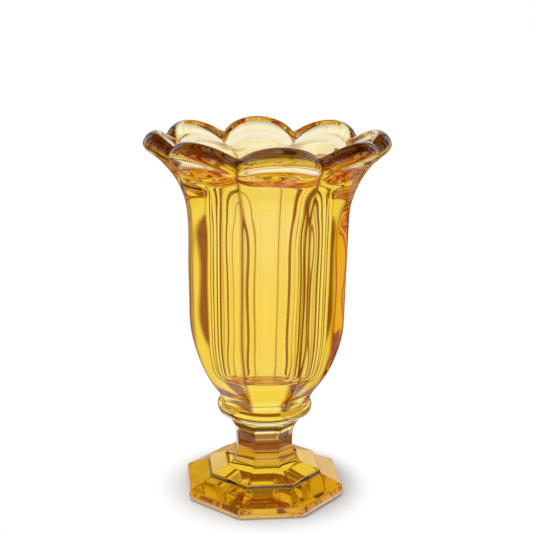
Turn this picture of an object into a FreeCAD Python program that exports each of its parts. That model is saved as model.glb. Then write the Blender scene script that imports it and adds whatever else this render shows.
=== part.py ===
"""Footed tulip vase in pressed glass: eight panels, eight rim petals, a wafer and an octagonal foot.

Frame: millimetres, +Z up, origin on the axis of the vase in the plane that the foot stands on. The middle of one
panel and of its petal faces -Y. The vase is made as its maker makes it: a bowl and a foot, each pressed in a mould
of its own, joined by a wafer of glass.
"""
import FreeCAD, Part
import math
import os
import Sketcher

# Driving dimensions in millimetres and degrees. A radius with no other word is measured at the ridges between
# panels, or at the cusps between petals. A size named flats is measured across two opposite flat faces.
SIZES = {
    "panel_count": 8,
    "vase_height": 220.0,
    "foot_base_flats": 88.8,
    "foot_edge_flats": 93.4,
    "foot_edge_height": 3.4,
    "foot_shoulder_flats": 91.6,
    "foot_shoulder_height": 7.0,
    "foot_step_flats": 66.8,
    "foot_step_height": 12.9,
    "foot_upper_flats": 65.2,
    "foot_upper_height": 15.3,
    "foot_slope_angle": 17.5,
    "neck_flats": 33.0,
    "neck_low_radius": 11.0,
    "neck_high_radius": 19.5,
    "stem_top_flats": 49.0,
    "stem_top_height": 50.4,
    "prism_overrun": 20.0,
    "wafer_low_radius": 26.6,
    "wafer_edge_radius": 4.6,
    "wafer_thickness": 7.4,
    "waist_radius": 26.8,
    "waist_bulge": 0.2,
    "panel_bulge": 1.5,
    "body_radius": 48.6,
    "flare_height": 171.6,
    "notch_radius": 59.6,
    "notch_drop": 14.7,
    "cusp_radius": 56.1,
    "cusp_drop": 8.5,
    "lip_radius": 71.2,
    "lip_drop": 8.1,
    "crest_radius": 63.6,
    "cavity_radius": 24.6,
    "cavity_floor_radius": 5.0,
    "cavity_floor_thickness": 19.5,
    "section_spacing": 4.0,
}

# The cup's outline below the flare, from the waist (0) to the body (1): shares of its reach and of its rise.
CUP_SHARES = [
    (0.0, 0.0),
    (0.131, 0.057),
    (0.315, 0.107),
    (0.61, 0.203),
    (0.789, 0.293),
    (0.908, 0.382),
    (0.954, 0.535),
    (0.975, 0.757),
    (1.0, 1.0),
]

# The flare from the body to the lip's lower edge, along a ridge and along the middle of a petal.
FLARE_RIDGE_SHARES = [(0.04, 0.196), (0.2, 0.405), (0.4, 0.588), (0.66, 0.784), (0.86, 0.915), (1.0, 1.0)]
FLARE_PETAL_SHARES = [(0.045, 0.18), (0.15, 0.383), (0.31, 0.568), (0.54, 0.743), (0.82, 0.896), (1.0, 1.0)]

# The round of the lip, from its lower edge to its crest, as shares of a quarter turn.
LIP_TURN_SHARES = [0.35, 0.7, 1.0]

# The throat inside the rim, from the crest inward and down to the top of the cavity.
THROAT_SHARES = [
    (0.045, 0.017),
    (0.081, 0.062),
    (0.111, 0.124),
    (0.16, 0.185),
    (0.33, 0.235),
    (0.6, 0.29),
    (0.83, 0.335),
    (0.94, 0.39),
    (0.985, 0.49),
    (0.998, 0.7),
]

# The cavity from its top down to its floor: shares of its radius above the floor's, and of its depth.
CAVITY_SHARES = [
    (1.0, 0.0),
    (0.99, 0.3),
    (0.97, 0.5),
    (0.94, 0.7),
    (0.9, 0.85),
    (0.87, 0.92),
    (0.81, 0.965),
    (0.7, 0.986),
    (0.5, 0.994),
    (0.25, 0.998),
    (0.0, 1.0),
]


def make_sheet(doc):
    """Keeps the driving dimensions in a spreadsheet, one alias to a size."""
    sheet = doc.addObject("Spreadsheet::Sheet", "Sizes")
    for row, (alias, value) in enumerate(SIZES.items(), start=1):
        sheet.set("A%d" % row, alias)
        sheet.set("B%d" % row, str(value))
        sheet.setAlias("B%d" % row, alias)
    doc.recompute()
    return sheet


def between(start, end, share):
    """The value that lies the given share of the way from start to end."""
    return start + (end - start) * share


def constrain(sketch, kind, *where):
    """Adds a constraint between elements of a sketch."""
    sketch.addConstraint(Sketcher.Constraint(kind, *where))


def bind(sketch, expression, kind, *where):
    """Adds a constraint that holds a size, and binds it to an expression of the sheet's cells."""
    value = float(sketch.evalExpression(expression))
    index = sketch.addConstraint(Sketcher.Constraint(kind, *where, value))
    sketch.setExpression("Constraints[%d]" % index, expression)


def upright_sketch(doc, name):
    """A free sketch in the plane of X and Z, with its own Y axis along Z."""
    sketch = doc.addObject("Sketcher::SketchObject", name)
    sketch.Placement.Rotation = FreeCAD.Rotation(FreeCAD.Vector(1, 0, 0), 90)
    return sketch


def body_sketch(body, name):
    """A sketch on a body's own plane of X and Z."""
    sketch = body.newObject("Sketcher::SketchObject", name)
    sketch.AttachmentSupport = [plane for plane in body.Origin.OriginFeatures if plane.Role == "XZ_Plane"]
    sketch.MapMode = "FlatFace"
    return sketch


def foot_side_points(sheet):
    """The corners and tangent points of one side of the foot's outline, from the floor to the wafer."""
    slope = math.radians(sheet.foot_slope_angle)
    neck = sheet.neck_flats / 2
    upper = FreeCAD.Vector(sheet.foot_upper_flats / 2, sheet.foot_upper_height, 0)
    corner = FreeCAD.Vector(neck, upper.y + (upper.x - neck) * math.tan(slope), 0)
    run = sheet.neck_low_radius * math.tan((math.pi / 2 - slope) / 2)
    top = FreeCAD.Vector(sheet.stem_top_flats / 2, sheet.stem_top_height, 0)
    rise = math.sqrt(sheet.neck_high_radius ** 2 - (neck + sheet.neck_high_radius - top.x) ** 2)
    return {
        "base": FreeCAD.Vector(sheet.foot_base_flats / 2, 0, 0),
        "edge": FreeCAD.Vector(sheet.foot_edge_flats / 2, sheet.foot_edge_height, 0),
        "shoulder": FreeCAD.Vector(sheet.foot_shoulder_flats / 2, sheet.foot_shoulder_height, 0),
        "step": FreeCAD.Vector(sheet.foot_step_flats / 2, sheet.foot_step_height, 0),
        "upper": upper,
        "slope_end": corner + FreeCAD.Vector(run * math.cos(slope), -run * math.sin(slope), 0),
        "neck_low": corner + FreeCAD.Vector(0, run, 0),
        "neck_high": FreeCAD.Vector(neck, top.y - rise, 0),
        "top": top,
    }


def add_arc(sketch, centre, start, end):
    """Adds the arc that runs anticlockwise round centre from start to end."""
    radius = centre.distanceToPoint(start)
    angles = [math.atan2(point.y - centre.y, point.x - centre.x) for point in (start, end)]
    if angles[1] < angles[0]:
        angles[1] += 2 * math.pi
    circle = Part.Circle(centre, FreeCAD.Vector(0, 0, 1), radius)
    return sketch.addGeometry(Part.ArcOfCircle(circle, *angles))


def add_foot_side(sketch, sheet, side):
    """Draws one side of the foot's outline (+1 right, -1 left) and binds it to the sheet.

    Returns its lowest line, its sloping line, its highest arc, and the number of that arc's upper end.
    """
    point = {name: FreeCAD.Vector(side * at.x, at.y, 0) for name, at in foot_side_points(sheet).items()}
    rim = sketch.addGeometry(Part.LineSegment(point["base"], point["edge"]))
    bevel = sketch.addGeometry(Part.LineSegment(point["edge"], point["shoulder"]))
    tier = sketch.addGeometry(Part.LineSegment(point["shoulder"], point["step"]))
    riser = sketch.addGeometry(Part.LineSegment(point["step"], point["upper"]))
    slope = sketch.addGeometry(Part.LineSegment(point["upper"], point["slope_end"]))
    neck = sketch.addGeometry(Part.LineSegment(point["neck_low"], point["neck_high"]))
    low_centre = point["neck_low"] + FreeCAD.Vector(side * sheet.neck_low_radius, 0, 0)
    high_centre = point["neck_high"] + FreeCAD.Vector(side * sheet.neck_high_radius, 0, 0)
    if side < 0:
        lower_index, upper_index = 1, 2
        low_arc = add_arc(sketch, low_centre, point["slope_end"], point["neck_low"])
        high_arc = add_arc(sketch, high_centre, point["neck_high"], point["top"])
    else:
        lower_index, upper_index = 2, 1
        low_arc = add_arc(sketch, low_centre, point["neck_low"], point["slope_end"])
        high_arc = add_arc(sketch, high_centre, point["top"], point["neck_high"])

    constrain(sketch, "Coincident", rim, 2, bevel, 1)
    constrain(sketch, "Coincident", bevel, 2, tier, 1)
    constrain(sketch, "Coincident", tier, 2, riser, 1)
    constrain(sketch, "Coincident", riser, 2, slope, 1)
    constrain(sketch, "Tangent", slope, 2, low_arc, lower_index)
    constrain(sketch, "Tangent", low_arc, upper_index, neck, 1)
    constrain(sketch, "Tangent", neck, 2, high_arc, lower_index)
    constrain(sketch, "Vertical", neck)

    def across(flats, geometry, end):
        origin_first = (-1, 1, geometry, end)
        point_first = (geometry, end, -1, 1)
        bind(sketch, "Sizes.%s / 2" % flats, "DistanceX", *(origin_first if side > 0 else point_first))

    across("foot_base_flats", rim, 1)
    across("foot_edge_flats", bevel, 1)
    across("foot_shoulder_flats", tier, 1)
    across("foot_step_flats", riser, 1)
    across("foot_upper_flats", slope, 1)
    across("neck_flats", neck, 1)
    across("stem_top_flats", high_arc, upper_index)
    bind(sketch, "Sizes.foot_edge_height", "DistanceY", -1, 1, bevel, 1)
    bind(sketch, "Sizes.foot_shoulder_height", "DistanceY", -1, 1, tier, 1)
    bind(sketch, "Sizes.foot_step_height", "DistanceY", -1, 1, riser, 1)
    bind(sketch, "Sizes.foot_upper_height", "DistanceY", -1, 1, slope, 1)
    bind(sketch, "Sizes.stem_top_height", "DistanceY", -1, 1, high_arc, upper_index)
    bind(sketch, "Sizes.neck_low_radius", "Radius", low_arc)
    bind(sketch, "Sizes.neck_high_radius", "Radius", high_arc)
    return rim, slope, high_arc, upper_index


def make_foot(doc, sheet):
    """The neck and foot: one outline pressed from four sides, so that it has eight faces and eight ridges."""
    sketch = upright_sketch(doc, "FootOutline")
    left_rim, left_slope, left_arc, left_top = add_foot_side(sketch, sheet, -1)
    right_rim, right_slope, right_arc, right_top = add_foot_side(sketch, sheet, 1)
    floor = sketch.addGeometry(Part.LineSegment(sketch.getPoint(left_rim, 1), sketch.getPoint(right_rim, 1)))
    top = sketch.addGeometry(Part.LineSegment(
        sketch.getPoint(left_arc, left_top), sketch.getPoint(right_arc, right_top)))
    constrain(sketch, "Coincident", floor, 1, left_rim, 1)
    constrain(sketch, "Coincident", floor, 2, right_rim, 1)
    constrain(sketch, "Coincident", top, 1, left_arc, left_top)
    constrain(sketch, "Coincident", top, 2, right_arc, right_top)
    constrain(sketch, "PointOnObject", left_rim, 1, -1)
    constrain(sketch, "Horizontal", floor)
    bind(sketch, "Sizes.foot_slope_angle", "Angle", left_slope)
    bind(sketch, "180 - Sizes.foot_slope_angle", "Angle", right_slope)
    doc.recompute()

    prisms = []
    for turn in range(int(sheet.panel_count) // 2):
        prism = doc.addObject("Part::Extrusion", "FootPrism%d" % turn)
        prism.Base = sketch
        prism.DirMode = "Normal"
        prism.Solid = True
        prism.Symmetric = True
        prism.setExpression("LengthFwd", "Sizes.foot_edge_flats + Sizes.prism_overrun")
        prism.Placement.Rotation = FreeCAD.Rotation(FreeCAD.Vector(0, 0, 1), 1)
        prism.setExpression("Placement.Rotation.Angle", "%d * 360 / Sizes.panel_count" % turn)
        prisms.append(prism)
    foot = doc.addObject("Part::MultiCommon", "PedestalFoot")
    foot.Shapes = prisms
    foot.Label = "pedestal_foot"
    return foot


def make_wafer(doc, sheet):
    """The wafer: a round disc with a full edge, seated on the stem and carrying the bowl."""
    body = doc.addObject("PartDesign::Body", "JoiningWafer")
    body.Label = "joining_wafer"
    sketch = body_sketch(body, "WaferOutline")
    low = FreeCAD.Vector(sheet.wafer_low_radius, 0, 0)
    high = FreeCAD.Vector(sheet.waist_radius, sheet.wafer_thickness, 0)
    chord = high - low
    inset = math.sqrt(sheet.wafer_edge_radius ** 2 - (chord.Length / 2) ** 2)
    inward = FreeCAD.Vector(-chord.y, chord.x, 0).normalize()
    centre = low + chord * 0.5 + inward * inset

    under = sketch.addGeometry(Part.LineSegment(FreeCAD.Vector(), low))
    over = sketch.addGeometry(Part.LineSegment(high, FreeCAD.Vector(0, high.y, 0)))
    axis = sketch.addGeometry(Part.LineSegment(FreeCAD.Vector(0, high.y, 0), FreeCAD.Vector()))
    edge = add_arc(sketch, centre, low, high)
    constrain(sketch, "Coincident", under, 1, -1, 1)
    constrain(sketch, "Coincident", under, 2, edge, 1)
    constrain(sketch, "Coincident", edge, 2, over, 1)
    constrain(sketch, "Coincident", over, 2, axis, 1)
    constrain(sketch, "Coincident", axis, 2, under, 1)
    constrain(sketch, "Horizontal", under)
    constrain(sketch, "Horizontal", over)
    constrain(sketch, "Vertical", axis)
    bind(sketch, "Sizes.wafer_low_radius", "DistanceX", -1, 1, edge, 1)
    bind(sketch, "Sizes.waist_radius", "DistanceX", -1, 1, edge, 2)
    bind(sketch, "Sizes.wafer_thickness", "DistanceY", -1, 1, edge, 2)
    bind(sketch, "Sizes.wafer_edge_radius", "Radius", edge)

    turned = body.newObject("PartDesign::Revolution", "WaferTurned")
    turned.Profile = sketch
    turned.ReferenceAxis = (sketch, ["V_Axis"])
    turned.Angle = 360
    body.setExpression("Placement.Base.z", "Sizes.stem_top_height")
    return body


def bowl_stations(sheet):
    """The bowl's skin from its base, over the lip and down to the cavity's floor.

    A station is the radius and height at a ridge, then at the middle of a panel. Heights are above the bowl's base.
    """
    base = sheet.stem_top_height + sheet.wafer_thickness
    crest_height = sheet.vase_height - base
    flare_height = sheet.flare_height - base
    flat_share = math.cos(math.pi / sheet.panel_count)
    stations = []

    for reach, rise in CUP_SHARES:
        radius = between(sheet.waist_radius, sheet.body_radius, reach)
        height = flare_height * rise
        bulge = between(sheet.waist_bulge, sheet.panel_bulge, reach)
        stations.append((radius, height, radius * flat_share + bulge, height))

    _, _, panel_radius, _ = stations[-1]
    notch_height = crest_height - sheet.notch_drop
    lip_height = crest_height - sheet.lip_drop
    for (ridge_reach, ridge_rise), (petal_reach, petal_rise) in zip(FLARE_RIDGE_SHARES, FLARE_PETAL_SHARES):
        stations.append((
            between(sheet.body_radius, sheet.notch_radius, ridge_reach),
            between(flare_height, notch_height, ridge_rise),
            between(panel_radius, sheet.lip_radius, petal_reach),
            between(flare_height, lip_height, petal_rise),
        ))

    cusp_height = crest_height - sheet.cusp_drop
    for turn in LIP_TURN_SHARES:
        inward = 1 - math.cos(turn * math.pi / 2)
        upward = math.sin(turn * math.pi / 2)
        stations.append((
            between(sheet.notch_radius, sheet.cusp_radius, inward),
            between(notch_height, cusp_height, upward),
            between(sheet.lip_radius, sheet.crest_radius, inward),
            between(lip_height, crest_height, upward),
        ))

    for inward, downward in THROAT_SHARES:
        height = between(crest_height, flare_height, downward)
        stations.append((
            between(sheet.cusp_radius, sheet.cavity_radius, inward),
            height - sheet.cusp_drop * (1 - inward),
            between(sheet.crest_radius, sheet.cavity_radius, inward),
            height,
        ))

    for outward, depth in CAVITY_SHARES:
        radius = between(sheet.cavity_floor_radius, sheet.cavity_radius, outward)
        height = between(flare_height, sheet.cavity_floor_thickness, depth)
        stations.append((radius, height, radius, height))
    return stations


def station_wire(station, count):
    """A closed ring of arcs, one to a panel, that meet at the ridges."""
    ridge_radius, ridge_height, middle_radius, middle_height = station

    def at(radius, height, step):
        angle = (step - 0.5) * 2 * math.pi / count - math.pi / 2
        return FreeCAD.Vector(radius * math.cos(angle), radius * math.sin(angle), height)

    arcs = []
    for step in range(count):
        start = at(ridge_radius, ridge_height, step)
        middle = at(middle_radius, middle_height, step + 0.5)
        end = at(ridge_radius, ridge_height, step + 1)
        arcs.append(Part.Arc(start, middle, end).toShape())
    return Part.Wire(arcs)


def even_stations(stations, spacing):
    """Spaces stations evenly along the smooth curves through the given ones, at a ridge and at a panel's middle."""
    curves = []
    for radius_index in (0, 2):
        curve = Part.BSplineCurve()
        curve.interpolate([FreeCAD.Vector(*station[radius_index:radius_index + 2], 0) for station in stations])
        curves.append(curve)
    count = math.ceil(curves[0].length() / spacing) + 2
    ridge, middle = (curve.discretize(count) for curve in curves)
    return [(low.x, low.y, high.x, high.y) for low, high in zip(ridge, middle)]


def make_bowl(doc, sheet):
    """The bowl: a skin lofted over the lip and into the cavity, closed by its base and the cavity's floor.

    Each stretch of the skin is a loft of its own, so that the tight curves of the lip leave the long walls smooth.
    """
    count = int(sheet.panel_count)
    stations = bowl_stations(sheet)
    last_wire = station_wire(stations[0], count)
    faces = [Part.Face(last_wire)]
    start = 0
    for shares in (CUP_SHARES[1:], FLARE_RIDGE_SHARES, LIP_TURN_SHARES, THROAT_SHARES, CAVITY_SHARES):
        end = start + len(shares)
        stretch = even_stations(stations[start:end + 1], sheet.section_spacing)
        wires = [last_wire] + [station_wire(station, count) for station in stretch[1:]]
        faces += Part.makeLoft(wires, False, False).Faces
        last_wire = wires[-1]
        start = end
    faces.append(Part.Face(last_wire))
    shell = Part.makeShell(faces)
    shell.sewShape()
    solid = Part.makeSolid(shell)
    if solid.Volume < 0:
        solid.reverse()
    bowl = doc.addObject("Part::Feature", "TulipBowl")
    bowl.Shape = solid
    bowl.Label = "tulip_bowl"
    bowl.setExpression("Placement.Base.z", "Sizes.stem_top_height + Sizes.wafer_thickness")
    return bowl


def check(doc, pieces):
    """Stops with a plain message where a feature failed or a piece is not one valid solid."""
    for item in doc.Objects:
        if "Invalid" in item.State or "Error" in item.State:
            raise RuntimeError("%s failed: %s" % (item.Label, item.State))
    for piece in pieces:
        shape = piece.Shape
        if shape.isNull() or not shape.isValid() or len(shape.Solids) != 1 or shape.Volume <= 0:
            raise RuntimeError("%s is not one valid solid" % piece.Label)


def main():
    """Builds the vase and writes each piece."""
    doc = FreeCAD.newDocument("FootedVase")
    sheet = make_sheet(doc)
    pieces = [make_foot(doc, sheet), make_wafer(doc, sheet), make_bowl(doc, sheet)]
    doc.recompute()
    check(doc, pieces)
    os.makedirs("parts", exist_ok=True)
    for piece in pieces:
        piece.Shape.exportStep("parts/%s.step" % piece.Label)
        box = piece.Shape.BoundBox
        print("%s: volume %.0f mm3, %.2f to %.2f high" % (piece.Label, piece.Shape.Volume, box.ZMin, box.ZMax))


main()
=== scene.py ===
"""Footed tulip vase in amber pressed glass, dressed as three pieces of clear glass on a white studio table.

+Z is up and the vase's axis is the Z axis. The middle of one panel and of its petal faces -Y. The sizes of
the pieces are in millimetres and the studio's are in metres. Each piece is a smooth closed skin that stands in
for a plain solid.
"""
import logging
import math
from dataclasses import dataclass
from enum import Enum

import bpy
import numpy as np
from mathutils import Matrix, Vector

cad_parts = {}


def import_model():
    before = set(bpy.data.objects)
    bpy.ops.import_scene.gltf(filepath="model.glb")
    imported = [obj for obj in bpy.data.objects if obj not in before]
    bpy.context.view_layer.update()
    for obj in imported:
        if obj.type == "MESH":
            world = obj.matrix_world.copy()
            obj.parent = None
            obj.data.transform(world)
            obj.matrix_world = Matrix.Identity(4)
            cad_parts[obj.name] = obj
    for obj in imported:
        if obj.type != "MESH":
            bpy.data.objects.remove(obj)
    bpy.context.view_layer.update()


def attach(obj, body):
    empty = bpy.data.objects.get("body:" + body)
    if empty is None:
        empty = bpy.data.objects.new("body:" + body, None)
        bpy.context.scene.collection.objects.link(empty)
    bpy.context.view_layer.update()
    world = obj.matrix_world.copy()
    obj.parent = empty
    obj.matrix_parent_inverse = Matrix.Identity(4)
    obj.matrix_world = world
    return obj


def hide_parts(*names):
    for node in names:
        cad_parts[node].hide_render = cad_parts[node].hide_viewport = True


LOG = logging.getLogger("footed_vase")
MM = 0.001
PANELS = 8
ROOT = "root"
HALF_TURN_DEGREES = 180.0
FLAT_RISE = 1e-6
FEWEST_CORNER_STEPS = 4
CORNER_STEP_SHARE = 0.6
MIX_FACTOR, MIX_FIRST, MIX_SECOND, MIX_RESULT = 0, 6, 7, 2
MIDDLE_HEIGHT, LIP = 3, 5
FOOT_DENSITY = 16.0
WAFER_DENSITY = 2.0
WHITE = (1.0, 1.0, 1.0)

Colour = tuple[float, float, float]
Shares = tuple[tuple[float, float], ...]


class Face(Enum):
    """What a face of a piece is."""

    POLISHED = 0
    GROUND = 1
    JOINT = 2


@dataclass(frozen=True)
class Station:
    """One level of a panelled skin, in millimetres: at a ridge, then at the middle of a panel."""

    ridge_radius: float
    ridge_height: float
    middle_radius: float
    middle_height: float
    softness: float = 0.5
    lip: float = 0.0


@dataclass(frozen=True)
class TintBand:
    """The colour that the glass's skin gives to light at one height above the table, in millimetres."""

    height: float
    colour: Colour


def fill_ramp(ramp: bpy.types.Node, stops: list[tuple[float, Colour]]) -> None:
    """Gives a colour ramp its stops.

    Args:
        ramp: The ramp's node, as new.
        stops: Places from 0 to 1, rising, each with its colour.
    """
    elements = ramp.color_ramp.elements
    elements.remove(elements[1])
    first_place, first_colour = stops[0]
    elements[0].position = first_place
    elements[0].color = (*first_colour, 1.0)
    for place, colour in stops[1:]:
        elements.new(place).color = (*colour, 1.0)


@dataclass(frozen=True)
class GlassFinish:
    """Clear amber glass, banded in colour by height, with painted shade on its ridges, lip and edges."""

    slot: str
    bands: tuple[TintBand, ...]
    # Painted shade, multiplied into the skin's colour: dark lines along the ridges, a dark lip and darker
    # edges.
    ridge_painted_shade: Colour = (0.30, 0.11, 0.02)
    lip_painted_shade: Colour = (0.038, 0.009, 0.002)
    edge_painted_shade: Colour = (0.36, 0.13, 0.01)
    edge_shade_blend: float = 0.5
    edge_shade_start: float = 0.60
    depth_colour: Colour = (0.986, 0.890, 0.04)
    depth_density: float = 38.0
    refraction: float = 1.5
    ground_roughness: float = 0.05
    ripple_size: float = 0.016
    ripple_detail: float = 1.0
    ripple_strength: float = 0.06
    ripple_depth: float = 0.0004

    def material(self) -> bpy.types.Material:
        """Builds the glass: a polished skin with the press's faint ripple, and amber that deepens inside.

        Returns:
            The material, whose joint faces let light pass straight through.
        """
        material = bpy.data.materials.new(self.slot)
        material.use_nodes = True
        nodes, links = material.node_tree.nodes, material.node_tree.links
        nodes.clear()
        output = nodes.new("ShaderNodeOutputMaterial")
        skin = nodes.new("ShaderNodeBsdfPrincipled")
        links.new(self.tint(material.node_tree), skin.inputs["Base Color"])
        skin.inputs["Transmission Weight"].default_value = 1.0
        skin.inputs["IOR"].default_value = self.refraction
        links.new(skin.outputs["BSDF"], output.inputs["Surface"])

        depth = nodes.new("ShaderNodeVolumeAbsorption")
        depth.inputs["Color"].default_value = (*self.depth_colour, 1.0)
        depth.inputs["Density"].default_value = self.depth_density
        links.new(depth.outputs["Volume"], output.inputs["Volume"])

        place = nodes.new("ShaderNodeTexCoord")
        ripple = nodes.new("ShaderNodeTexNoise")
        ripple.inputs["Scale"].default_value = 1.0 / self.ripple_size
        ripple.inputs["Detail"].default_value = self.ripple_detail
        links.new(place.outputs["Object"], ripple.inputs["Vector"])
        bump = nodes.new("ShaderNodeBump")
        bump.inputs["Strength"].default_value = self.ripple_strength
        bump.inputs["Distance"].default_value = self.ripple_depth
        links.new(ripple.outputs["Fac"], bump.inputs["Height"])
        links.new(bump.outputs["Normal"], skin.inputs["Normal"])

        ground = nodes.new("ShaderNodeMath")
        ground.operation = "MULTIPLY"
        ground.inputs[1].default_value = self.ground_roughness
        links.new(self.share(material.node_tree, "ground"), ground.inputs[0])
        links.new(ground.outputs["Value"], skin.inputs["Roughness"])
        seen = nodes.new("ShaderNodeMath")
        seen.operation = "SUBTRACT"
        seen.inputs[0].default_value = 1.0
        links.new(self.share(material.node_tree, "joint"), seen.inputs[1])
        links.new(seen.outputs["Value"], skin.inputs["Alpha"])
        return material

    def share(self, tree: bpy.types.NodeTree, name: str) -> bpy.types.NodeSocket:
        """Adds a node that reads one of the mesh's shares.

        Args:
            tree: The material's nodes.
            name: The share's name.

        Returns:
            The socket that holds the share.
        """
        attribute = tree.nodes.new("ShaderNodeAttribute")
        attribute.attribute_type = "GEOMETRY"
        attribute.attribute_name = name
        return attribute.outputs["Fac"]

    def add_painted_shade(self, tree: bpy.types.NodeTree, colour: bpy.types.NodeSocket, factor: bpy.types.NodeSocket,
               tint: Colour) -> bpy.types.NodeSocket:
        """Adds a node that paints shade, multiplying a colour by a tint as far as a factor says.

        Args:
            tree: The material's nodes.
            colour: The socket of the colour.
            factor: The socket of the factor.
            tint: The painted shade's tint.

        Returns:
            The socket of the deeper colour.
        """
        mix = tree.nodes.new("ShaderNodeMix")
        mix.data_type = "RGBA"
        mix.blend_type = "MULTIPLY"
        tree.links.new(factor, mix.inputs[MIX_FACTOR])
        tree.links.new(colour, mix.inputs[MIX_FIRST])
        mix.inputs[MIX_SECOND].default_value = (*tint, 1.0)
        return mix.outputs[MIX_RESULT]

    def tint(self, tree: bpy.types.NodeTree) -> bpy.types.NodeSocket:
        """Adds the nodes of the skin's colour: bands by height, and painted shade at edges, lip and ridges.

        Args:
            tree: The material's nodes.

        Returns:
            The socket that holds the colour.
        """
        nodes, links = tree.nodes, tree.links
        place = nodes.new("ShaderNodeTexCoord")
        axes = nodes.new("ShaderNodeSeparateXYZ")
        links.new(place.outputs["Object"], axes.inputs["Vector"])
        low, high = self.bands[0].height, self.bands[-1].height
        height = nodes.new("ShaderNodeMapRange")
        height.inputs["From Min"].default_value = low * MM
        height.inputs["From Max"].default_value = high * MM
        links.new(axes.outputs["Z"], height.inputs["Value"])
        ramp = nodes.new("ShaderNodeValToRGB")
        fill_ramp(ramp, [((band.height - low) / (high - low), band.colour) for band in self.bands])
        links.new(height.outputs["Result"], ramp.inputs["Fac"])

        # Painted shade: the colour darkens where the skin turns away from the view, towards the edges.
        weight = nodes.new("ShaderNodeLayerWeight")
        weight.inputs["Blend"].default_value = self.edge_shade_blend
        edge = nodes.new("ShaderNodeMapRange")
        edge.interpolation_type = "SMOOTHSTEP"
        edge.inputs["From Min"].default_value = self.edge_shade_start
        links.new(weight.outputs["Facing"], edge.inputs["Value"])
        colour = self.add_painted_shade(tree, ramp.outputs["Color"], edge.outputs["Result"], self.edge_painted_shade)
        # Painted shade: the lip is darkened.
        colour = self.add_painted_shade(tree, colour, self.share(tree, "lip"), self.lip_painted_shade)
        # Painted shade: dark lines along the ridges.
        return self.add_painted_shade(tree, colour, self.share(tree, "ridge"), self.ridge_painted_shade)


BOWL_BANDS = (
    TintBand(57.8, (1.0, 1.0, 1.0)),
    TintBand(63.0, (1.0, 0.97, 0.84)),
    TintBand(84.0, (1.0, 0.90, 0.60)),
    TintBand(120.0, (1.0, 0.91, 0.68)),
    TintBand(165.0, (1.0, 0.94, 0.92)),
    TintBand(220.0, (1.0, 0.95, 0.90)),
)
WAFER_BANDS = (
    TintBand(50.4, (1.0, 0.98, 0.92)),
    TintBand(57.8, (1.0, 0.98, 0.92)),
)
# The foot's colour by height. The near-black bands at 13.2-14.6, 21.0, 30.8-36.4 and 43.2-45.8 mm are painted
# shade across the step and the neck.
FOOT_BANDS_WITH_PAINTED_SHADE = (
    TintBand(0.0, (0.78, 0.46, 0.03)),
    TintBand(12.6, (0.66, 0.36, 0.02)),
    TintBand(13.2, (0.03, 0.01, 0.001)),
    TintBand(14.6, (0.05, 0.02, 0.002)),
    TintBand(15.4, (0.86, 0.60, 0.08)),
    TintBand(20.3, (0.94, 0.70, 0.10)),
    TintBand(21.0, (0.05, 0.02, 0.002)),
    TintBand(21.7, (0.80, 0.56, 0.08)),
    TintBand(25.0, (0.62, 0.38, 0.04)),
    TintBand(29.4, (0.62, 0.30, 0.03)),
    TintBand(30.8, (0.10, 0.015, 0.0005)),
    TintBand(36.4, (0.18, 0.035, 0.001)),
    TintBand(37.8, (1.0, 0.95, 0.80)),
    TintBand(42.4, (1.0, 0.97, 0.88)),
    TintBand(43.2, (0.03, 0.01, 0.001)),
    TintBand(45.8, (0.03, 0.01, 0.001)),
    TintBand(46.6, (1.0, 0.96, 0.82)),
    TintBand(50.4, (1.0, 0.96, 0.84)),
)


def spline(values: np.ndarray, spread: np.ndarray, wanted: np.ndarray) -> np.ndarray:
    """Interpolates columns of values with a natural cubic spline.

    Args:
        values: One row of values at each knot.
        spread: The knots' places, rising.
        wanted: The places to give values for.

    Returns:
        One row of values at each wanted place.
    """
    count = len(spread)
    step = np.diff(spread)
    system = np.eye(count)
    right = np.zeros_like(values)
    for i in range(1, count - 1):
        system[i, i - 1 : i + 2] = step[i - 1], 2 * (step[i - 1] + step[i]), step[i]
        right[i] = 6 * ((values[i + 1] - values[i]) / step[i] - (values[i] - values[i - 1]) / step[i - 1])
    bend = np.linalg.solve(system, right)
    at = np.clip(np.searchsorted(spread, wanted, side="right") - 1, 0, count - 2)
    gap = step[at][:, None]
    b = (wanted - spread[at])[:, None] / gap
    a = 1 - b
    return (a * values[at] + b * values[at + 1]
            + ((a ** 3 - a) * bend[at] + (b ** 3 - b) * bend[at + 1]) * gap ** 2 / 6)


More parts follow.
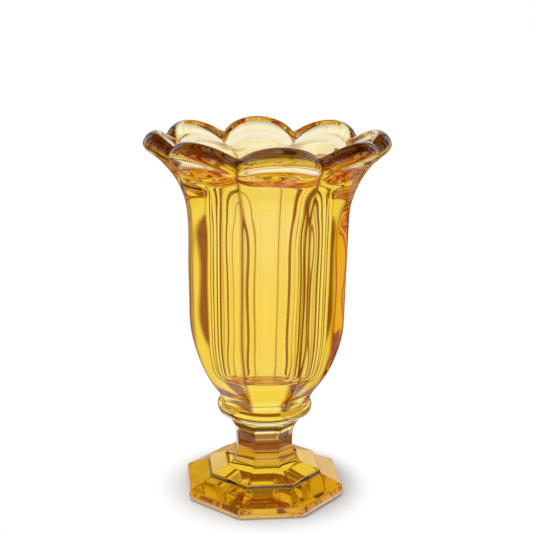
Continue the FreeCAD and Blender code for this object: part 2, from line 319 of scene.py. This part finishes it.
@dataclass
class PanelledSkin:
    """A skin of alike panels, each level of which is a ring of arcs that meet at softened ridges."""

    stations: list[Station]
    panel_steps: int = 32
    row_length: float = 0.9
    shade_line_width: float = 0.5
    shade_line_strength: float = 1.0

    def levels(self) -> np.ndarray:
        """Gives the skin's levels, closely spaced and smooth along the profile.

        Returns:
            Rows of ridge radius, ridge height, middle radius, middle height, softness and lip.
        """
        knots = np.array([(s.ridge_radius, s.ridge_height, s.middle_radius, s.middle_height)
                          for s in self.stations])
        lengths = np.linalg.norm(np.diff(knots, axis=0), axis=1) / math.sqrt(2)
        spread = np.concatenate([[0], np.cumsum(lengths)])
        count = int(spread[-1] / self.row_length) + 2
        wanted = np.linspace(0, spread[-1], count)
        softness = np.interp(wanted, spread, [s.softness for s in self.stations])
        lip = np.interp(wanted, spread, [s.lip for s in self.stations])
        return np.column_stack([spline(knots, spread, wanted), softness, lip])

    def turns(self) -> np.ndarray:
        """Gives the places across a panel, from one ridge (-1) to the next (1), closer at the ridges."""
        return np.sin(np.linspace(-1, 1, self.panel_steps, endpoint=False) * math.pi / 2)

    def line(self, level: np.ndarray) -> np.ndarray:
        """Gives how strongly the painted shade line along the ridges shows round one level.

        Args:
            level: The level, its ridge radius first.

        Returns:
            The line's strength at each point of the level's ring.
        """
        chord = level[0] * math.sin(math.pi / PANELS)
        away = chord * (1 - np.abs(self.turns()))
        return np.tile(self.shade_line_strength * np.exp(-(away / self.shade_line_width) ** 2), PANELS)

    def ring(self, level: np.ndarray) -> np.ndarray:
        """Gives the points round one level.

        Args:
            level: Ridge radius, ridge height, middle radius, middle height and softness.

        Returns:
            Points, with the first panel's middle facing -Y.
        """
        ridge_radius, ridge_height, middle_radius, middle_height, softness = level[:5]
        half = math.pi / PANELS
        chord = ridge_radius * math.sin(half)
        foot = np.array([0.0, -ridge_radius * math.cos(half), ridge_height])
        rise = np.array([0.0, -middle_radius, middle_height]) - foot
        height = float(np.linalg.norm(rise))
        turn = self.turns()
        if height < FLAT_RISE:
            panel = foot + np.outer(turn * chord, [1.0, 0.0, 0.0])
        else:
            radius = (chord ** 2 + height ** 2) / (2 * height)
            angle = turn * math.atan2(chord, radius - height)
            panel = (foot + np.outer(radius * np.sin(angle), [1.0, 0.0, 0.0])
                     + np.outer(radius * np.cos(angle) - (radius - height), rise / height))
        points = []
        for number in range(PANELS):
            spin = number * 2 * math.pi / PANELS
            cosine, sine = math.cos(spin), math.sin(spin)
            points.append(panel @ np.array([[cosine, sine, 0.0], [-sine, cosine, 0.0], [0.0, 0.0, 1.0]]))
        return self.soften(np.concatenate(points), softness)

    def soften(self, points: np.ndarray, softness: float) -> np.ndarray:
        """Rounds a ring's ridges off a little, as fire polishing does.

        Args:
            points: The ring's points.
            softness: How far along the ring a point is averaged with its neighbours.

        Returns:
            The same number of points, averaged along the ring.
        """
        ahead = np.linalg.norm(np.roll(points, -1, axis=0) - points, axis=1)
        length = (ahead + np.roll(ahead, 1)) / 2
        total, weights = np.zeros_like(points), np.zeros(len(points))
        for k in range(-self.panel_steps // 2, self.panel_steps // 2 + 1):
            other = np.roll(points, k, axis=0)
            away = np.linalg.norm(other - points, axis=1)
            weight = np.exp(-0.5 * (away / softness) ** 2) * np.roll(length, k)
            total += weight[:, None] * other
            weights += weight
        return total / weights[:, None]


class Solid:
    """A closed mesh under construction, made of rings of the same count of points."""

    def __init__(self) -> None:
        """Starts an empty mesh."""
        self.points: list[np.ndarray] = []
        self.ridges: list[np.ndarray] = []
        self.lips: list[float] = []
        self.faces: list[tuple[int, ...]] = []
        self.kinds: list[Face] = []
        self.smooth: list[bool] = []

    def add_ring(self, ring: np.ndarray, ridge: np.ndarray | None = None, lip: float = 0.0) -> list[int]:
        """Adds a ring's points.

        Args:
            ring: The points.
            ridge: How strongly each point shows the painted shade line along a ridge, or nothing where none
                shows.
            lip: How far the ring lies on the thick lip.

        Returns:
            The points' numbers.
        """
        start = sum(len(p) for p in self.points)
        self.points.append(ring)
        self.ridges.append(np.zeros(len(ring)) if ridge is None else ridge)
        self.lips += [lip] * len(ring)
        return list(range(start, start + len(ring)))

    def bridge(self, lower: list[int], upper: list[int], kind: Face = Face.POLISHED,
               smooth: bool = True) -> None:
        """Joins two rings with a band of faces.

        Args:
            lower: The first ring's point numbers, anticlockwise seen from above.
            upper: The next ring's point numbers.
            kind: What the faces are.
            smooth: Whether the band is shaded as one curve.
        """
        count = len(lower)
        for i in range(count):
            j = (i + 1) % count
            self.faces.append((lower[i], lower[j], upper[j], upper[i]))
            self.kinds.append(kind)
            self.smooth.append(smooth)

    def close(self, ring: list[int], upward: bool, kind: Face, smooth: bool = False) -> None:
        """Closes a ring with a fan of faces round its centre.

        Args:
            ring: The ring's point numbers, anticlockwise seen from above.
            upward: Whether the fan faces up.
            kind: What the faces are.
            smooth: Whether the fan is shaded as one curve.
        """
        points = np.concatenate(self.points)[ring]
        centre = self.add_ring(points.mean(axis=0)[None, :])[0]
        count = len(ring)
        for i in range(count):
            j = (i + 1) % count
            self.faces.append((ring[i], ring[j], centre) if upward else (ring[j], ring[i], centre))
            self.kinds.append(kind)
            self.smooth.append(smooth)

    def object(self, name: str) -> bpy.types.Object:
        """Makes the mesh object.

        Args:
            name: The piece's name.

        Returns:
            The object, linked to the scene, in metres.
        """
        mesh = bpy.data.meshes.new(name)
        mesh.from_pydata((np.concatenate(self.points) * MM).tolist(), [], self.faces)
        mesh.polygons.foreach_set("use_smooth", self.smooth)
        for kind in (Face.GROUND, Face.JOINT):
            share = mesh.attributes.new(kind.name.lower(), "FLOAT", "FACE")
            share.data.foreach_set("value", [float(each is kind) for each in self.kinds])
        # The ridge and lip shares mark where the skin's colour gets its painted shade.
        for share_name, values in (("ridge", np.concatenate(self.ridges)), ("lip", self.lips)):
            share = mesh.attributes.new(share_name, "FLOAT", "POINT")
            share.data.foreach_set("value", values)
        mesh.validate()
        mesh.update()
        piece = bpy.data.objects.new(name, mesh)
        bpy.context.scene.collection.objects.link(piece)
        return piece


def between(start: float, end: float, share: float) -> float:
    """Gives the value that lies the given share of the way from start to end."""
    return start + (end - start) * share


@dataclass
class TulipBowl:
    """The bowl: eight nearly flat panels that flare into eight rounded petals, round a deep cavity."""

    finish: GlassFinish
    waist_radius: float = 26.8
    body_radius: float = 48.6
    waist_bulge: float = 0.2
    panel_bulge: float = 1.5
    base_height: float = 57.8
    flare_height: float = 171.6
    crest_height: float = 220.0
    notch_radius: float = 59.6
    notch_drop: float = 14.7
    cusp_radius: float = 56.1
    cusp_drop: float = 8.5
    lip_radius: float = 71.2
    lip_drop: float = 8.1
    crest_radius: float = 63.6
    cavity_radius: float = 24.6
    cavity_floor_radius: float = 5.0
    cavity_floor_thickness: float = 19.5
    inner_softness: float = 3.0
    inside_drop: float = 0.5
    shade_line_width: float = 1.3
    cup_shares: Shares = (
        (0, 0), (0.131, 0.057), (0.315, 0.107), (0.61, 0.203), (0.789, 0.293), (0.908, 0.382), (0.954, 0.535),
        (0.975, 0.757), (1, 1))
    flare_ridge_shares: Shares = (
        (0.04, 0.196), (0.2, 0.405), (0.4, 0.588), (0.66, 0.784), (0.86, 0.915), (1, 1))
    flare_petal_shares: Shares = (
        (0.045, 0.18), (0.15, 0.383), (0.31, 0.568), (0.54, 0.743), (0.82, 0.896), (1, 1))
    lip_turn_shares: tuple[float, ...] = (0.35, 0.7, 1.0)
    throat_shares: Shares = (
        (0.045, 0.017), (0.081, 0.062), (0.111, 0.124), (0.16, 0.185), (0.33, 0.235), (0.6, 0.29),
        (0.83, 0.335), (0.94, 0.39), (0.985, 0.49), (0.998, 0.7))
    cavity_shares: Shares = (
        (1, 0), (0.99, 0.3), (0.97, 0.5), (0.94, 0.7), (0.9, 0.85), (0.87, 0.92), (0.81, 0.965), (0.7, 0.986),
        (0.5, 0.994), (0.25, 0.998), (0, 1))

    def stations(self) -> list[Station]:
        """Lists the skin's levels from the waist, over the lip and down to the cavity's floor.

        Returns:
            The levels, in order.
        """
        flat_share = math.cos(math.pi / PANELS)
        levels = []
        for reach, rise in self.cup_shares:
            radius = between(self.waist_radius, self.body_radius, reach)
            height = between(self.base_height, self.flare_height, rise)
            bulge = between(self.waist_bulge, self.panel_bulge, reach)
            levels.append(Station(radius, height, radius * flat_share + bulge, height))

        panel_radius = levels[-1].middle_radius
        notch_height = self.crest_height - self.notch_drop
        lip_height = self.crest_height - self.lip_drop
        for (ridge_reach, ridge_rise), (petal_reach, petal_rise) in zip(
                self.flare_ridge_shares, self.flare_petal_shares):
            levels.append(Station(
                between(self.body_radius, self.notch_radius, ridge_reach),
                between(self.flare_height, notch_height, ridge_rise),
                between(panel_radius, self.lip_radius, petal_reach),
                between(self.flare_height, lip_height, petal_rise),
            ))

        cusp_height = self.crest_height - self.cusp_drop
        for turn in self.lip_turn_shares:
            inward = 1 - math.cos(turn * math.pi / 2)
            upward = math.sin(turn * math.pi / 2)
            levels.append(Station(
                between(self.notch_radius, self.cusp_radius, inward),
                between(notch_height, cusp_height, upward),
                between(self.lip_radius, self.crest_radius, inward),
                between(lip_height, self.crest_height, upward),
                lip=1.0,
            ))

        for inward, downward in self.throat_shares:
            height = between(self.crest_height, self.flare_height, downward)
            levels.append(Station(
                between(self.cusp_radius, self.cavity_radius, inward),
                height - self.cusp_drop * (1 - inward),
                between(self.crest_radius, self.cavity_radius, inward),
                height,
                self.inner_softness,
            ))

        floor_height = self.base_height + self.cavity_floor_thickness
        for outward, depth in self.cavity_shares:
            radius = between(self.cavity_floor_radius, self.cavity_radius, outward)
            height = between(self.flare_height, floor_height, depth)
            levels.append(Station(radius, height, radius, height))
        return levels

    def build(self) -> bpy.types.Object:
        """Makes the bowl's mesh and dresses it in its glass.

        Returns:
            The piece.
        """
        skin = PanelledSkin(self.stations(), shade_line_width=self.shade_line_width)
        solid = Solid()
        first, last = None, None
        crossed = False
        for level in skin.levels():
            crossed = crossed or level[MIDDLE_HEIGHT] > self.crest_height - self.inside_drop
            # Past the crest, into the throat, no painted shade line is given along the ridges.
            following = solid.add_ring(skin.ring(level), None if crossed else skin.line(level), level[LIP])
            if last is None:
                first = following
            else:
                solid.bridge(last, following)
            last = following
        solid.close(first, upward=False, kind=Face.POLISHED)
        solid.close(last, upward=True, kind=Face.POLISHED, smooth=True)
        piece = solid.object("bowl_glass_body")
        piece.data.materials.append(self.finish.material())
        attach(piece, ROOT)
        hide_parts("tulip_bowl")
        return piece


def turned_ring(radius: float, height: float, count: int) -> np.ndarray:
    """Gives a round ring of points, its first as a panelled ring's."""
    angle = -math.pi / 2 - math.pi / PANELS + np.arange(count) * 2 * math.pi / count
    return np.stack([radius * np.cos(angle), radius * np.sin(angle), np.full(count, height)], axis=1)


def rounded_profile(corners: list[tuple[float, float, float]], step: float) -> list[tuple[float, float]]:
    """Rounds the corners of a profile and divides its straight runs.

    Args:
        corners: Reach, height and rounding radius of each corner, in order.
        step: The length of one division.

    Returns:
        The profile's points.
    """
    profile = []
    for i, (x, z, radius) in enumerate(corners):
        here = np.array([x, z])
        if radius <= 0 or i in (0, len(corners) - 1):
            profile.append(here)
            continue
        back = np.array(corners[i - 1][:2]) - here
        ahead = np.array(corners[i + 1][:2]) - here
        back_unit, ahead_unit = back / np.linalg.norm(back), ahead / np.linalg.norm(ahead)
        opening = math.acos(float(np.clip(back_unit @ ahead_unit, -1, 1)))
        run = radius / math.tan(opening / 2)
        start, end = here + back_unit * run, here + ahead_unit * run
        bisector = back_unit + ahead_unit
        centre = here + bisector / np.linalg.norm(bisector) * radius / math.sin(opening / 2)
        first, last = start - centre, end - centre
        sweep = math.pi - opening
        count = max(FEWEST_CORNER_STEPS, int(radius * sweep / (step * CORNER_STEP_SHARE)) + 1)
        for k in range(count + 1):
            share = k / count
            profile.append(centre + (first * math.sin((1 - share) * sweep) + last * math.sin(share * sweep))
                           / math.sin(sweep))
    filled = [profile[0]]
    for point in profile[1:]:
        span = point - filled[-1]
        pieces = max(1, int(np.linalg.norm(span) / step))
        begin = filled[-1]
        filled += [begin + span * (k + 1) / pieces for k in range(pieces)]
    return [(float(p[0]), float(p[1])) for p in filled]


@dataclass
class JoiningWafer:
    """The wafer: a round disc of glass with a full edge, between the stem and the bowl."""

    finish: GlassFinish
    low_radius: float = 26.6
    edge_radius: float = 4.6
    low_height: float = 50.4
    thickness: float = 7.4
    edge_steps: int = 24
    joint_gap: float = 0.02
    joint_inset: float = 0.1

    def build(self, stem_ring: np.ndarray) -> bpy.types.Object:
        """Makes the wafer's mesh and dresses it.

        Args:
            stem_ring: The stem's top ring, where the wafer's underside is joined to it.

        Returns:
            The piece.
        """
        count = len(stem_ring)
        solid = Solid()
        inner = stem_ring.copy()
        inner[:, 2] = self.low_height + self.joint_gap
        reach = np.hypot(inner[:, 0], inner[:, 1])
        inner[:, :2] *= np.minimum(1.0, (self.low_radius - self.joint_inset) / reach)[:, None]
        joint_ring = solid.add_ring(inner)
        solid.close(joint_ring, upward=False, kind=Face.JOINT)
        half = self.thickness / 2
        lean = math.asin(half / self.edge_radius)
        last = solid.add_ring(turned_ring(self.low_radius, self.low_height + self.joint_gap, count))
        solid.bridge(last, joint_ring, smooth=False)
        inset = self.edge_radius * math.cos(lean)
        for k in range(1, self.edge_steps + 1):
            angle = between(-lean, lean, k / self.edge_steps)
            radius = self.low_radius - inset + self.edge_radius * math.cos(angle)
            height = self.low_height + half + self.edge_radius * math.sin(angle)
            if k == self.edge_steps:
                height -= self.joint_gap
            following = solid.add_ring(turned_ring(radius, height, count))
            solid.bridge(last, following)
            last = following
        solid.close(last, upward=True, kind=Face.POLISHED)
        piece = solid.object("wafer_glass_disc")
        piece.data.materials.append(self.finish.material())
        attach(piece, ROOT)
        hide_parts("joining_wafer")
        return piece


@dataclass
class PedestalFoot:
    """The neck and the thick octagonal foot, with softened ridges and arrises."""

    finish: GlassFinish
    base_flats: float = 88.8
    edge_flats: float = 93.4
    edge_height: float = 3.4
    shoulder_flats: float = 91.6
    shoulder_height: float = 7.0
    step_flats: float = 66.8
    step_height: float = 12.9
    upper_flats: float = 65.2
    upper_height: float = 15.3
    slope_degrees: float = 17.5
    neck_flats: float = 33.0
    neck_low_radius: float = 11.0
    neck_high_radius: float = 19.5
    top_flats: float = 49.0
    top_height: float = 50.4
    arris_radius: float = 1.0
    base_arris_share: float = 0.5
    step_arris_share: float = 0.6
    ridge_softness: float = 0.45
    # How strongly the painted shade line shows along the foot's ridges.
    shade_line_strength: float = 0.3
    profile_step: float = 0.9
    flare_steps: int = 28

    def profile(self) -> list[tuple[float, float]]:
        """Gives the outline at the middle of a face, from the floor to the wafer.

        Returns:
            Reach and height of each of its points.
        """
        slope = math.radians(self.slope_degrees)
        neck = self.neck_flats / 2
        upper = self.upper_flats / 2
        corner_height = self.upper_height + (upper - neck) * math.tan(slope)
        corners = [
            (self.base_flats / 2 - self.arris_radius, 0.0, 0.0),
            (self.base_flats / 2, 0.0, self.arris_radius * self.base_arris_share),
            (self.edge_flats / 2, self.edge_height, self.arris_radius),
            (self.shoulder_flats / 2, self.shoulder_height, self.arris_radius),
            (self.step_flats / 2, self.step_height, self.arris_radius * self.step_arris_share),
            (upper, self.upper_height, self.arris_radius * self.step_arris_share),
            (neck, corner_height, self.neck_low_radius),
        ]
        spread = self.top_flats / 2 - neck
        rise = math.sqrt(self.neck_high_radius ** 2 - (self.neck_high_radius - spread) ** 2)
        start_height = self.top_height - rise
        corners.append((neck, start_height, 0.0))
        points = rounded_profile(corners, self.profile_step)
        sweep = math.atan2(rise, self.neck_high_radius - spread)
        for k in range(1, self.flare_steps + 1):
            angle = sweep * k / self.flare_steps
            points.append((neck + self.neck_high_radius * (1 - math.cos(angle)),
                           start_height + self.neck_high_radius * math.sin(angle)))
        return points

    def levels(self) -> list[np.ndarray]:
        """Gives the foot's levels, each an octagon with softened ridges.

        Returns:
            Ridge radius, ridge height, middle radius, middle height and softness of each.
        """
        levels = []
        for apothem, height in self.profile():
            ridge = apothem / math.cos(math.pi / PANELS)
            levels.append(np.array([ridge, height, apothem, height, self.ridge_softness]))
        return levels

    def build(self) -> bpy.types.Object:
        """Makes the foot's mesh and dresses it in its glass.

        Returns:
            The piece.
        """
        solid = Solid()
        skin = PanelledSkin([], shade_line_strength=self.shade_line_strength)
        first, last = None, None
        for level in self.levels():
            following = solid.add_ring(skin.ring(level), skin.line(level))
            if last is None:
                first = following
            else:
                solid.bridge(last, following)
            last = following
        solid.close(first, upward=False, kind=Face.GROUND)
        solid.close(last, upward=True, kind=Face.JOINT)
        piece = solid.object("foot_glass_pedestal")
        piece.data.materials.append(self.finish.material())
        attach(piece, ROOT)
        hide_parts("pedestal_foot")
        return piece


@dataclass
class Studio:
    """The white table, the soft lights and the camera.

    The wall bands are degrees round the room from the far side of the vase, either way, each with how white
    the wall is there. The rise bands and the top bands are degrees above the table's level.
    """

    camera_distance: float = 0.6324
    camera_height: float = 0.3072
    camera_pitch: float = 14.84
    camera_side: float = 6.35
    camera_roll: float = 0.80
    camera_lens: float = 75.14
    sensor_width: float = 36.0
    nearest_seen: float = 0.01
    farthest_seen: float = 50.0
    floor_half: float = 4.0
    floor_colour: Colour = (0.97, 0.97, 0.97)
    shadow_reach: tuple[float, float] = (0.046, 0.068)
    bright_reach: tuple[float, float] = (0.06, 0.10)
    wall_bands: Shares = (
        (0, 1.0), (20, 1.0), (23, 0.0), (28, 0.0), (31, 1.0), (49, 1.0), (51, 0.0), (57, 0.0), (60, 1.0),
        (68, 1.0), (71, 0.0), (78, 0.0), (81, 1.0), (103, 1.0), (106, 0.0), (114, 0.0), (117, 1.0),
        (136, 1.0), (139, 0.0), (152, 0.0), (156, 1.0), (180, 1.0))
    rise_bands: Shares = ((0, 1.0), (30, 1.0), (42, 0.0), (90, 0.0))
    top_bands: Shares = ((0, 0.0), (76, 0.0), (84, 1.0), (90, 1.0))
    mirror_share: float = 0.25
    path_bounces: int = 24
    room_colour: Colour = (0.30, 0.12, 0.015)
    sky_light: float = 0.55
    lamp_place: tuple[float, float, float] = (-0.3, -0.3, 1.5)
    lamp_size: float = 1.0
    lamp_power: float = 11.0
    floor_drop: float = 0.0001

    def camera(self) -> None:
        """Places the camera where the photograph was taken from."""
        data = bpy.data.cameras.new("camera")
        data.lens = self.camera_lens
        data.sensor_width = self.sensor_width
        data.clip_start, data.clip_end = self.nearest_seen, self.farthest_seen
        camera = bpy.data.objects.new("camera", data)
        bpy.context.scene.collection.objects.link(camera)
        side = math.radians(self.camera_side)
        pitch = math.radians(self.camera_pitch)
        camera.location = (-self.camera_distance * math.sin(side), -self.camera_distance * math.cos(side),
                           self.camera_height)
        ahead = Vector((math.sin(side) * math.cos(pitch), math.cos(side) * math.cos(pitch), -math.sin(pitch)))
        turn = ahead.to_track_quat("-Z", "Y").to_matrix().to_4x4()
        roll = Matrix.Rotation(math.radians(self.camera_roll), 4, "Z")
        camera.matrix_world = Matrix.Translation(camera.location) @ turn @ roll
        bpy.context.scene.camera = camera
        bpy.context.scene.view_settings.view_transform = "Standard"

    def light_paths(self) -> None:
        """Lets light pass through and bounce inside the thick walls as often as it does in real glass."""
        cycles = bpy.context.scene.cycles
        cycles.max_bounces = cycles.transmission_bounces = cycles.glossy_bounces = self.path_bounces

    def floor(self) -> None:
        """Lays the white table, which keeps the vase's shadow."""
        half, level = self.floor_half, -self.floor_drop
        corners = [(-half, -half, level), (half, -half, level), (half, half, level), (-half, half, level)]
        mesh = bpy.data.meshes.new("table")
        mesh.from_pydata(corners, [], [(0, 1, 2, 3)])
        mesh.materials.append(self.table_top())
        table = bpy.data.objects.new("table", mesh)
        bpy.context.scene.collection.objects.link(table)

    def table_top(self) -> bpy.types.Material:
        """Builds the table's top: matt under the vase, plain white further out, painted light and dark bands
        to the glass.

        Returns:
            The material.
        """
        material = bpy.data.materials.new("white_table")
        material.use_nodes = True
        tree = material.node_tree
        nodes, links = tree.nodes, tree.links
        nodes.clear()
        output = nodes.new("ShaderNodeOutputMaterial")
        matt = nodes.new("ShaderNodeBsdfDiffuse")
        matt.inputs["Color"].default_value = (*self.floor_colour, 1.0)
        white = nodes.new("ShaderNodeEmission")
        rays = nodes.new("ShaderNodeLightPath")
        camera_ray = rays.outputs["Is Camera Ray"]
        place = nodes.new("ShaderNodeTexCoord")
        axes = nodes.new("ShaderNodeSeparateXYZ")
        links.new(place.outputs["Object"], axes.inputs["Vector"])
        reach = nodes.new("ShaderNodeVectorMath")
        reach.operation = "LENGTH"
        links.new(place.outputs["Object"], reach.inputs[0])

        away = self.ease(tree, reach.outputs["Value"], *self.shadow_reach)
        far = self.combine(tree, "MULTIPLY", away, camera_ray)
        share = self.combine(tree, "MAXIMUM", far, self.glass_ray(tree, rays))
        bright_start, bright_end = self.bright_reach
        close = self.ease(tree, reach.outputs["Value"], bright_end, bright_start)
        plain = self.combine(tree, "MAXIMUM", close, camera_ray)
        # Painted light and shade for the glass: the room's white and dark wall bands glow on the table.
        walls = self.mirrored(tree, rays, self.walls(tree, axes))
        whiteness = self.combine(tree, "MAXIMUM", walls, plain)
        links.new(self.paint(tree, whiteness), white.inputs["Color"])

        mix = nodes.new("ShaderNodeMixShader")
        links.new(share, mix.inputs["Fac"])
        links.new(matt.outputs["BSDF"], mix.inputs[1])
        links.new(white.outputs["Emission"], mix.inputs[2])
        links.new(mix.outputs["Shader"], output.inputs["Surface"])
        return material

    def ease(self, tree: bpy.types.NodeTree, measure: bpy.types.NodeSocket, start: float,
             end: float) -> bpy.types.NodeSocket:
        """Adds a node that rises smoothly from 0 to 1 as a measure goes from start to end.

        Args:
            tree: The material's nodes.
            measure: The socket of the measure.
            start: The measure at which the result is 0.
            end: The measure at which it is 1.

        Returns:
            The socket of the result.
        """
        node = tree.nodes.new("ShaderNodeMapRange")
        node.interpolation_type = "SMOOTHSTEP"
        node.inputs["From Min"].default_value = start
        node.inputs["From Max"].default_value = end
        tree.links.new(measure, node.inputs["Value"])
        return node.outputs["Result"]

    def glass_ray(self, tree: bpy.types.NodeTree, rays: bpy.types.Node) -> bpy.types.NodeSocket:
        """Adds a node that says whether a ray comes from the glass, through it or off its surface.

        Args:
            tree: The material's or the world's nodes.
            rays: The light path node.

        Returns:
            The socket of the answer, 1 or 0.
        """
        through = rays.outputs["Is Transmission Ray"]
        return self.combine(tree, "MAXIMUM", rays.outputs["Is Glossy Ray"], through)

    def combine(self, tree: bpy.types.NodeTree, operation: str, first: bpy.types.NodeSocket,
                second: bpy.types.NodeSocket) -> bpy.types.NodeSocket:
        """Adds a node that works on two numbers.

        Args:
            tree: The material's or the world's nodes.
            operation: What the node does.
            first: The socket of the first number.
            second: The socket of the second number.

        Returns:
            The socket of the result.
        """
        node = tree.nodes.new("ShaderNodeMath")
        node.operation = operation
        tree.links.new(first, node.inputs[0])
        tree.links.new(second, node.inputs[1])
        return node.outputs["Value"]

    def walls(self, tree: bpy.types.NodeTree, axes: bpy.types.Node) -> bpy.types.NodeSocket:
        """Adds the nodes that say how white the room's walls are in the direction of a place.

        Args:
            tree: The material's or the world's nodes.
            axes: The node that gives the place's X and Y.

        Returns:
            The socket of the whiteness.
        """
        turn = self.combine(tree, "ARCTAN2", axes.outputs["X"], axes.outputs["Y"])
        half_turn = tree.nodes.new("ShaderNodeMapRange")
        half_turn.clamp = False
        far_side = math.radians(self.camera_side)
        half_turn.inputs["From Min"].default_value = far_side
        half_turn.inputs["From Max"].default_value = far_side + math.pi
        tree.links.new(turn, half_turn.inputs["Value"])
        either_way = tree.nodes.new("ShaderNodeMath")
        either_way.operation = "ABSOLUTE"
        tree.links.new(half_turn.outputs["Result"], either_way.inputs[0])
        bands = [(degrees / HALF_TURN_DEGREES, white) for degrees, white in self.wall_bands]
        return self.white_share(tree, either_way.outputs["Value"], bands)

    def mirrored(self, tree: bpy.types.NodeTree, rays: bpy.types.Node,
                 whiteness: bpy.types.NodeSocket) -> bpy.types.NodeSocket:
        """Adds the nodes that dim a whiteness where a surface mirrors it, so that glass keeps its colour.

        Args:
            tree: The material's or the world's nodes.
            rays: The light path node.
            whiteness: The socket of the whiteness.

        Returns:
            The socket of the whiteness as the glass mirrors it or shows it through.
        """
        dim = tree.nodes.new("ShaderNodeMapRange")
        dim.inputs["To Min"].default_value = 1.0
        dim.inputs["To Max"].default_value = self.mirror_share
        through = rays.outputs["Is Transmission Ray"]
        bounced = self.combine(tree, "SUBTRACT", rays.outputs["Is Glossy Ray"], through)
        tree.links.new(bounced, dim.inputs["Value"])
        return self.combine(tree, "MULTIPLY", dim.outputs["Result"], whiteness)

    def paint(self, tree: bpy.types.NodeTree, whiteness: bpy.types.NodeSocket) -> bpy.types.NodeSocket:
        """Adds the node that turns a whiteness into a colour between the room's and white.

        Args:
            tree: The material's or the world's nodes.
            whiteness: The socket of the whiteness.

        Returns:
            The socket of the colour.
        """
        mix = tree.nodes.new("ShaderNodeMix")
        mix.data_type = "RGBA"
        tree.links.new(whiteness, mix.inputs[MIX_FACTOR])
        mix.inputs[MIX_FIRST].default_value = (*self.room_colour, 1.0)
        mix.inputs[MIX_SECOND].default_value = (*WHITE, 1.0)
        return mix.outputs[MIX_RESULT]

    def world(self) -> None:
        """Surrounds the scene with white for the eye, and with a lit room for the glass."""
        world = bpy.data.worlds.new("studio")
        bpy.context.scene.world = world
        world.use_nodes = True
        tree = world.node_tree
        nodes, links = tree.nodes, tree.links
        nodes.clear()
        output = nodes.new("ShaderNodeOutputWorld")
        rays = nodes.new("ShaderNodeLightPath")
        place = nodes.new("ShaderNodeTexCoord")
        axes = nodes.new("ShaderNodeSeparateXYZ")
        links.new(place.outputs["Generated"], axes.inputs["Vector"])

        room = nodes.new("ShaderNodeBackground")
        walls = self.walls(tree, axes)
        low = self.white_share(tree, axes.outputs["Z"], self.by_rise(self.rise_bands))
        top = self.white_share(tree, axes.outputs["Z"], self.by_rise(self.top_bands))
        sides = self.combine(tree, "MULTIPLY", walls, low)
        whiteness = self.combine(tree, "MAXIMUM", sides, top)
        links.new(self.paint(tree, whiteness), room.inputs["Color"])

        white = nodes.new("ShaderNodeBackground")
        white.inputs["Color"].default_value = (*WHITE, 1.0)
        links.new(self.sky_strength(tree, rays), white.inputs["Strength"])
        mix = nodes.new("ShaderNodeMixShader")
        links.new(self.glass_ray(tree, rays), mix.inputs["Fac"])
        links.new(white.outputs["Background"], mix.inputs[1])
        links.new(room.outputs["Background"], mix.inputs[2])
        links.new(mix.outputs["Shader"], output.inputs["Surface"])

    def by_rise(self, bands: Shares) -> list[tuple[float, float]]:
        """Gives bands of degrees above the table's level as bands of a direction's Z."""
        return [(math.sin(math.radians(rise)), white) for rise, white in bands]

    def sky_strength(self, tree: bpy.types.NodeTree, rays: bpy.types.Node) -> bpy.types.NodeSocket:
        """Adds the node that keeps the background white for the eye, while the lamp gives part of the light.

        Args:
            tree: The world's nodes.
            rays: The light path node.

        Returns:
            The socket of the strength.
        """
        strength = tree.nodes.new("ShaderNodeMapRange")
        strength.inputs["To Min"].default_value = self.sky_light
        tree.links.new(rays.outputs["Is Camera Ray"], strength.inputs["Value"])
        return strength.outputs["Result"]

    def white_share(self, tree: bpy.types.NodeTree, place: bpy.types.NodeSocket,
                    bands: list[tuple[float, float]]) -> bpy.types.NodeSocket:
        """Adds a ramp that says how white the room is along one of its measures.

        Args:
            tree: The material's or the world's nodes.
            place: The socket of the measure, from 0 to 1.
            bands: Places along it, each with how white the room is there.

        Returns:
            The socket of the whiteness.
        """
        ramp = tree.nodes.new("ShaderNodeValToRGB")
        ramp.color_ramp.interpolation = "EASE"
        fill_ramp(ramp, [(at, (white, white, white)) for at, white in bands])
        tree.links.new(place, ramp.inputs["Fac"])
        return ramp.outputs["Color"]

    def lamp(self) -> None:
        """Hangs the broad soft lamp above, which casts the vase's shadow and isn't seen in the glass."""
        data = bpy.data.lights.new("softbox", "AREA")
        data.shape = "DISK"
        data.size = self.lamp_size
        data.energy = self.lamp_power
        lamp = bpy.data.objects.new("softbox", data)
        bpy.context.scene.collection.objects.link(lamp)
        lamp.location = self.lamp_place
        lamp.visible_glossy = lamp.visible_transmission = False
        lamp.rotation_euler = (-Vector(self.lamp_place)).to_track_quat("-Z", "Y").to_euler()

    def build(self) -> None:
        """Sets the whole studio up."""
        self.floor()
        self.world()
        self.lamp()
        self.camera()
        self.light_paths()


def main() -> None:
    """Builds the vase and its studio, and reports each piece."""
    logging.basicConfig(level=logging.INFO, format="%(name)s: %(message)s")
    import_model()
    bowl = TulipBowl(GlassFinish("bowl_glass", BOWL_BANDS))
    foot = PedestalFoot(GlassFinish("foot_glass", FOOT_BANDS_WITH_PAINTED_SHADE, depth_density=FOOT_DENSITY))
    wafer = JoiningWafer(GlassFinish("wafer_glass", WAFER_BANDS, depth_density=WAFER_DENSITY))
    stem_ring = PanelledSkin([]).ring(foot.levels()[-1])
    pieces = [bowl.build(), foot.build(), wafer.build(stem_ring)]
    for piece in pieces:
        LOG.info("%s: %d faces", piece.name, len(piece.data.polygons))
    Studio().build()


if __name__ == "__main__":
    main()
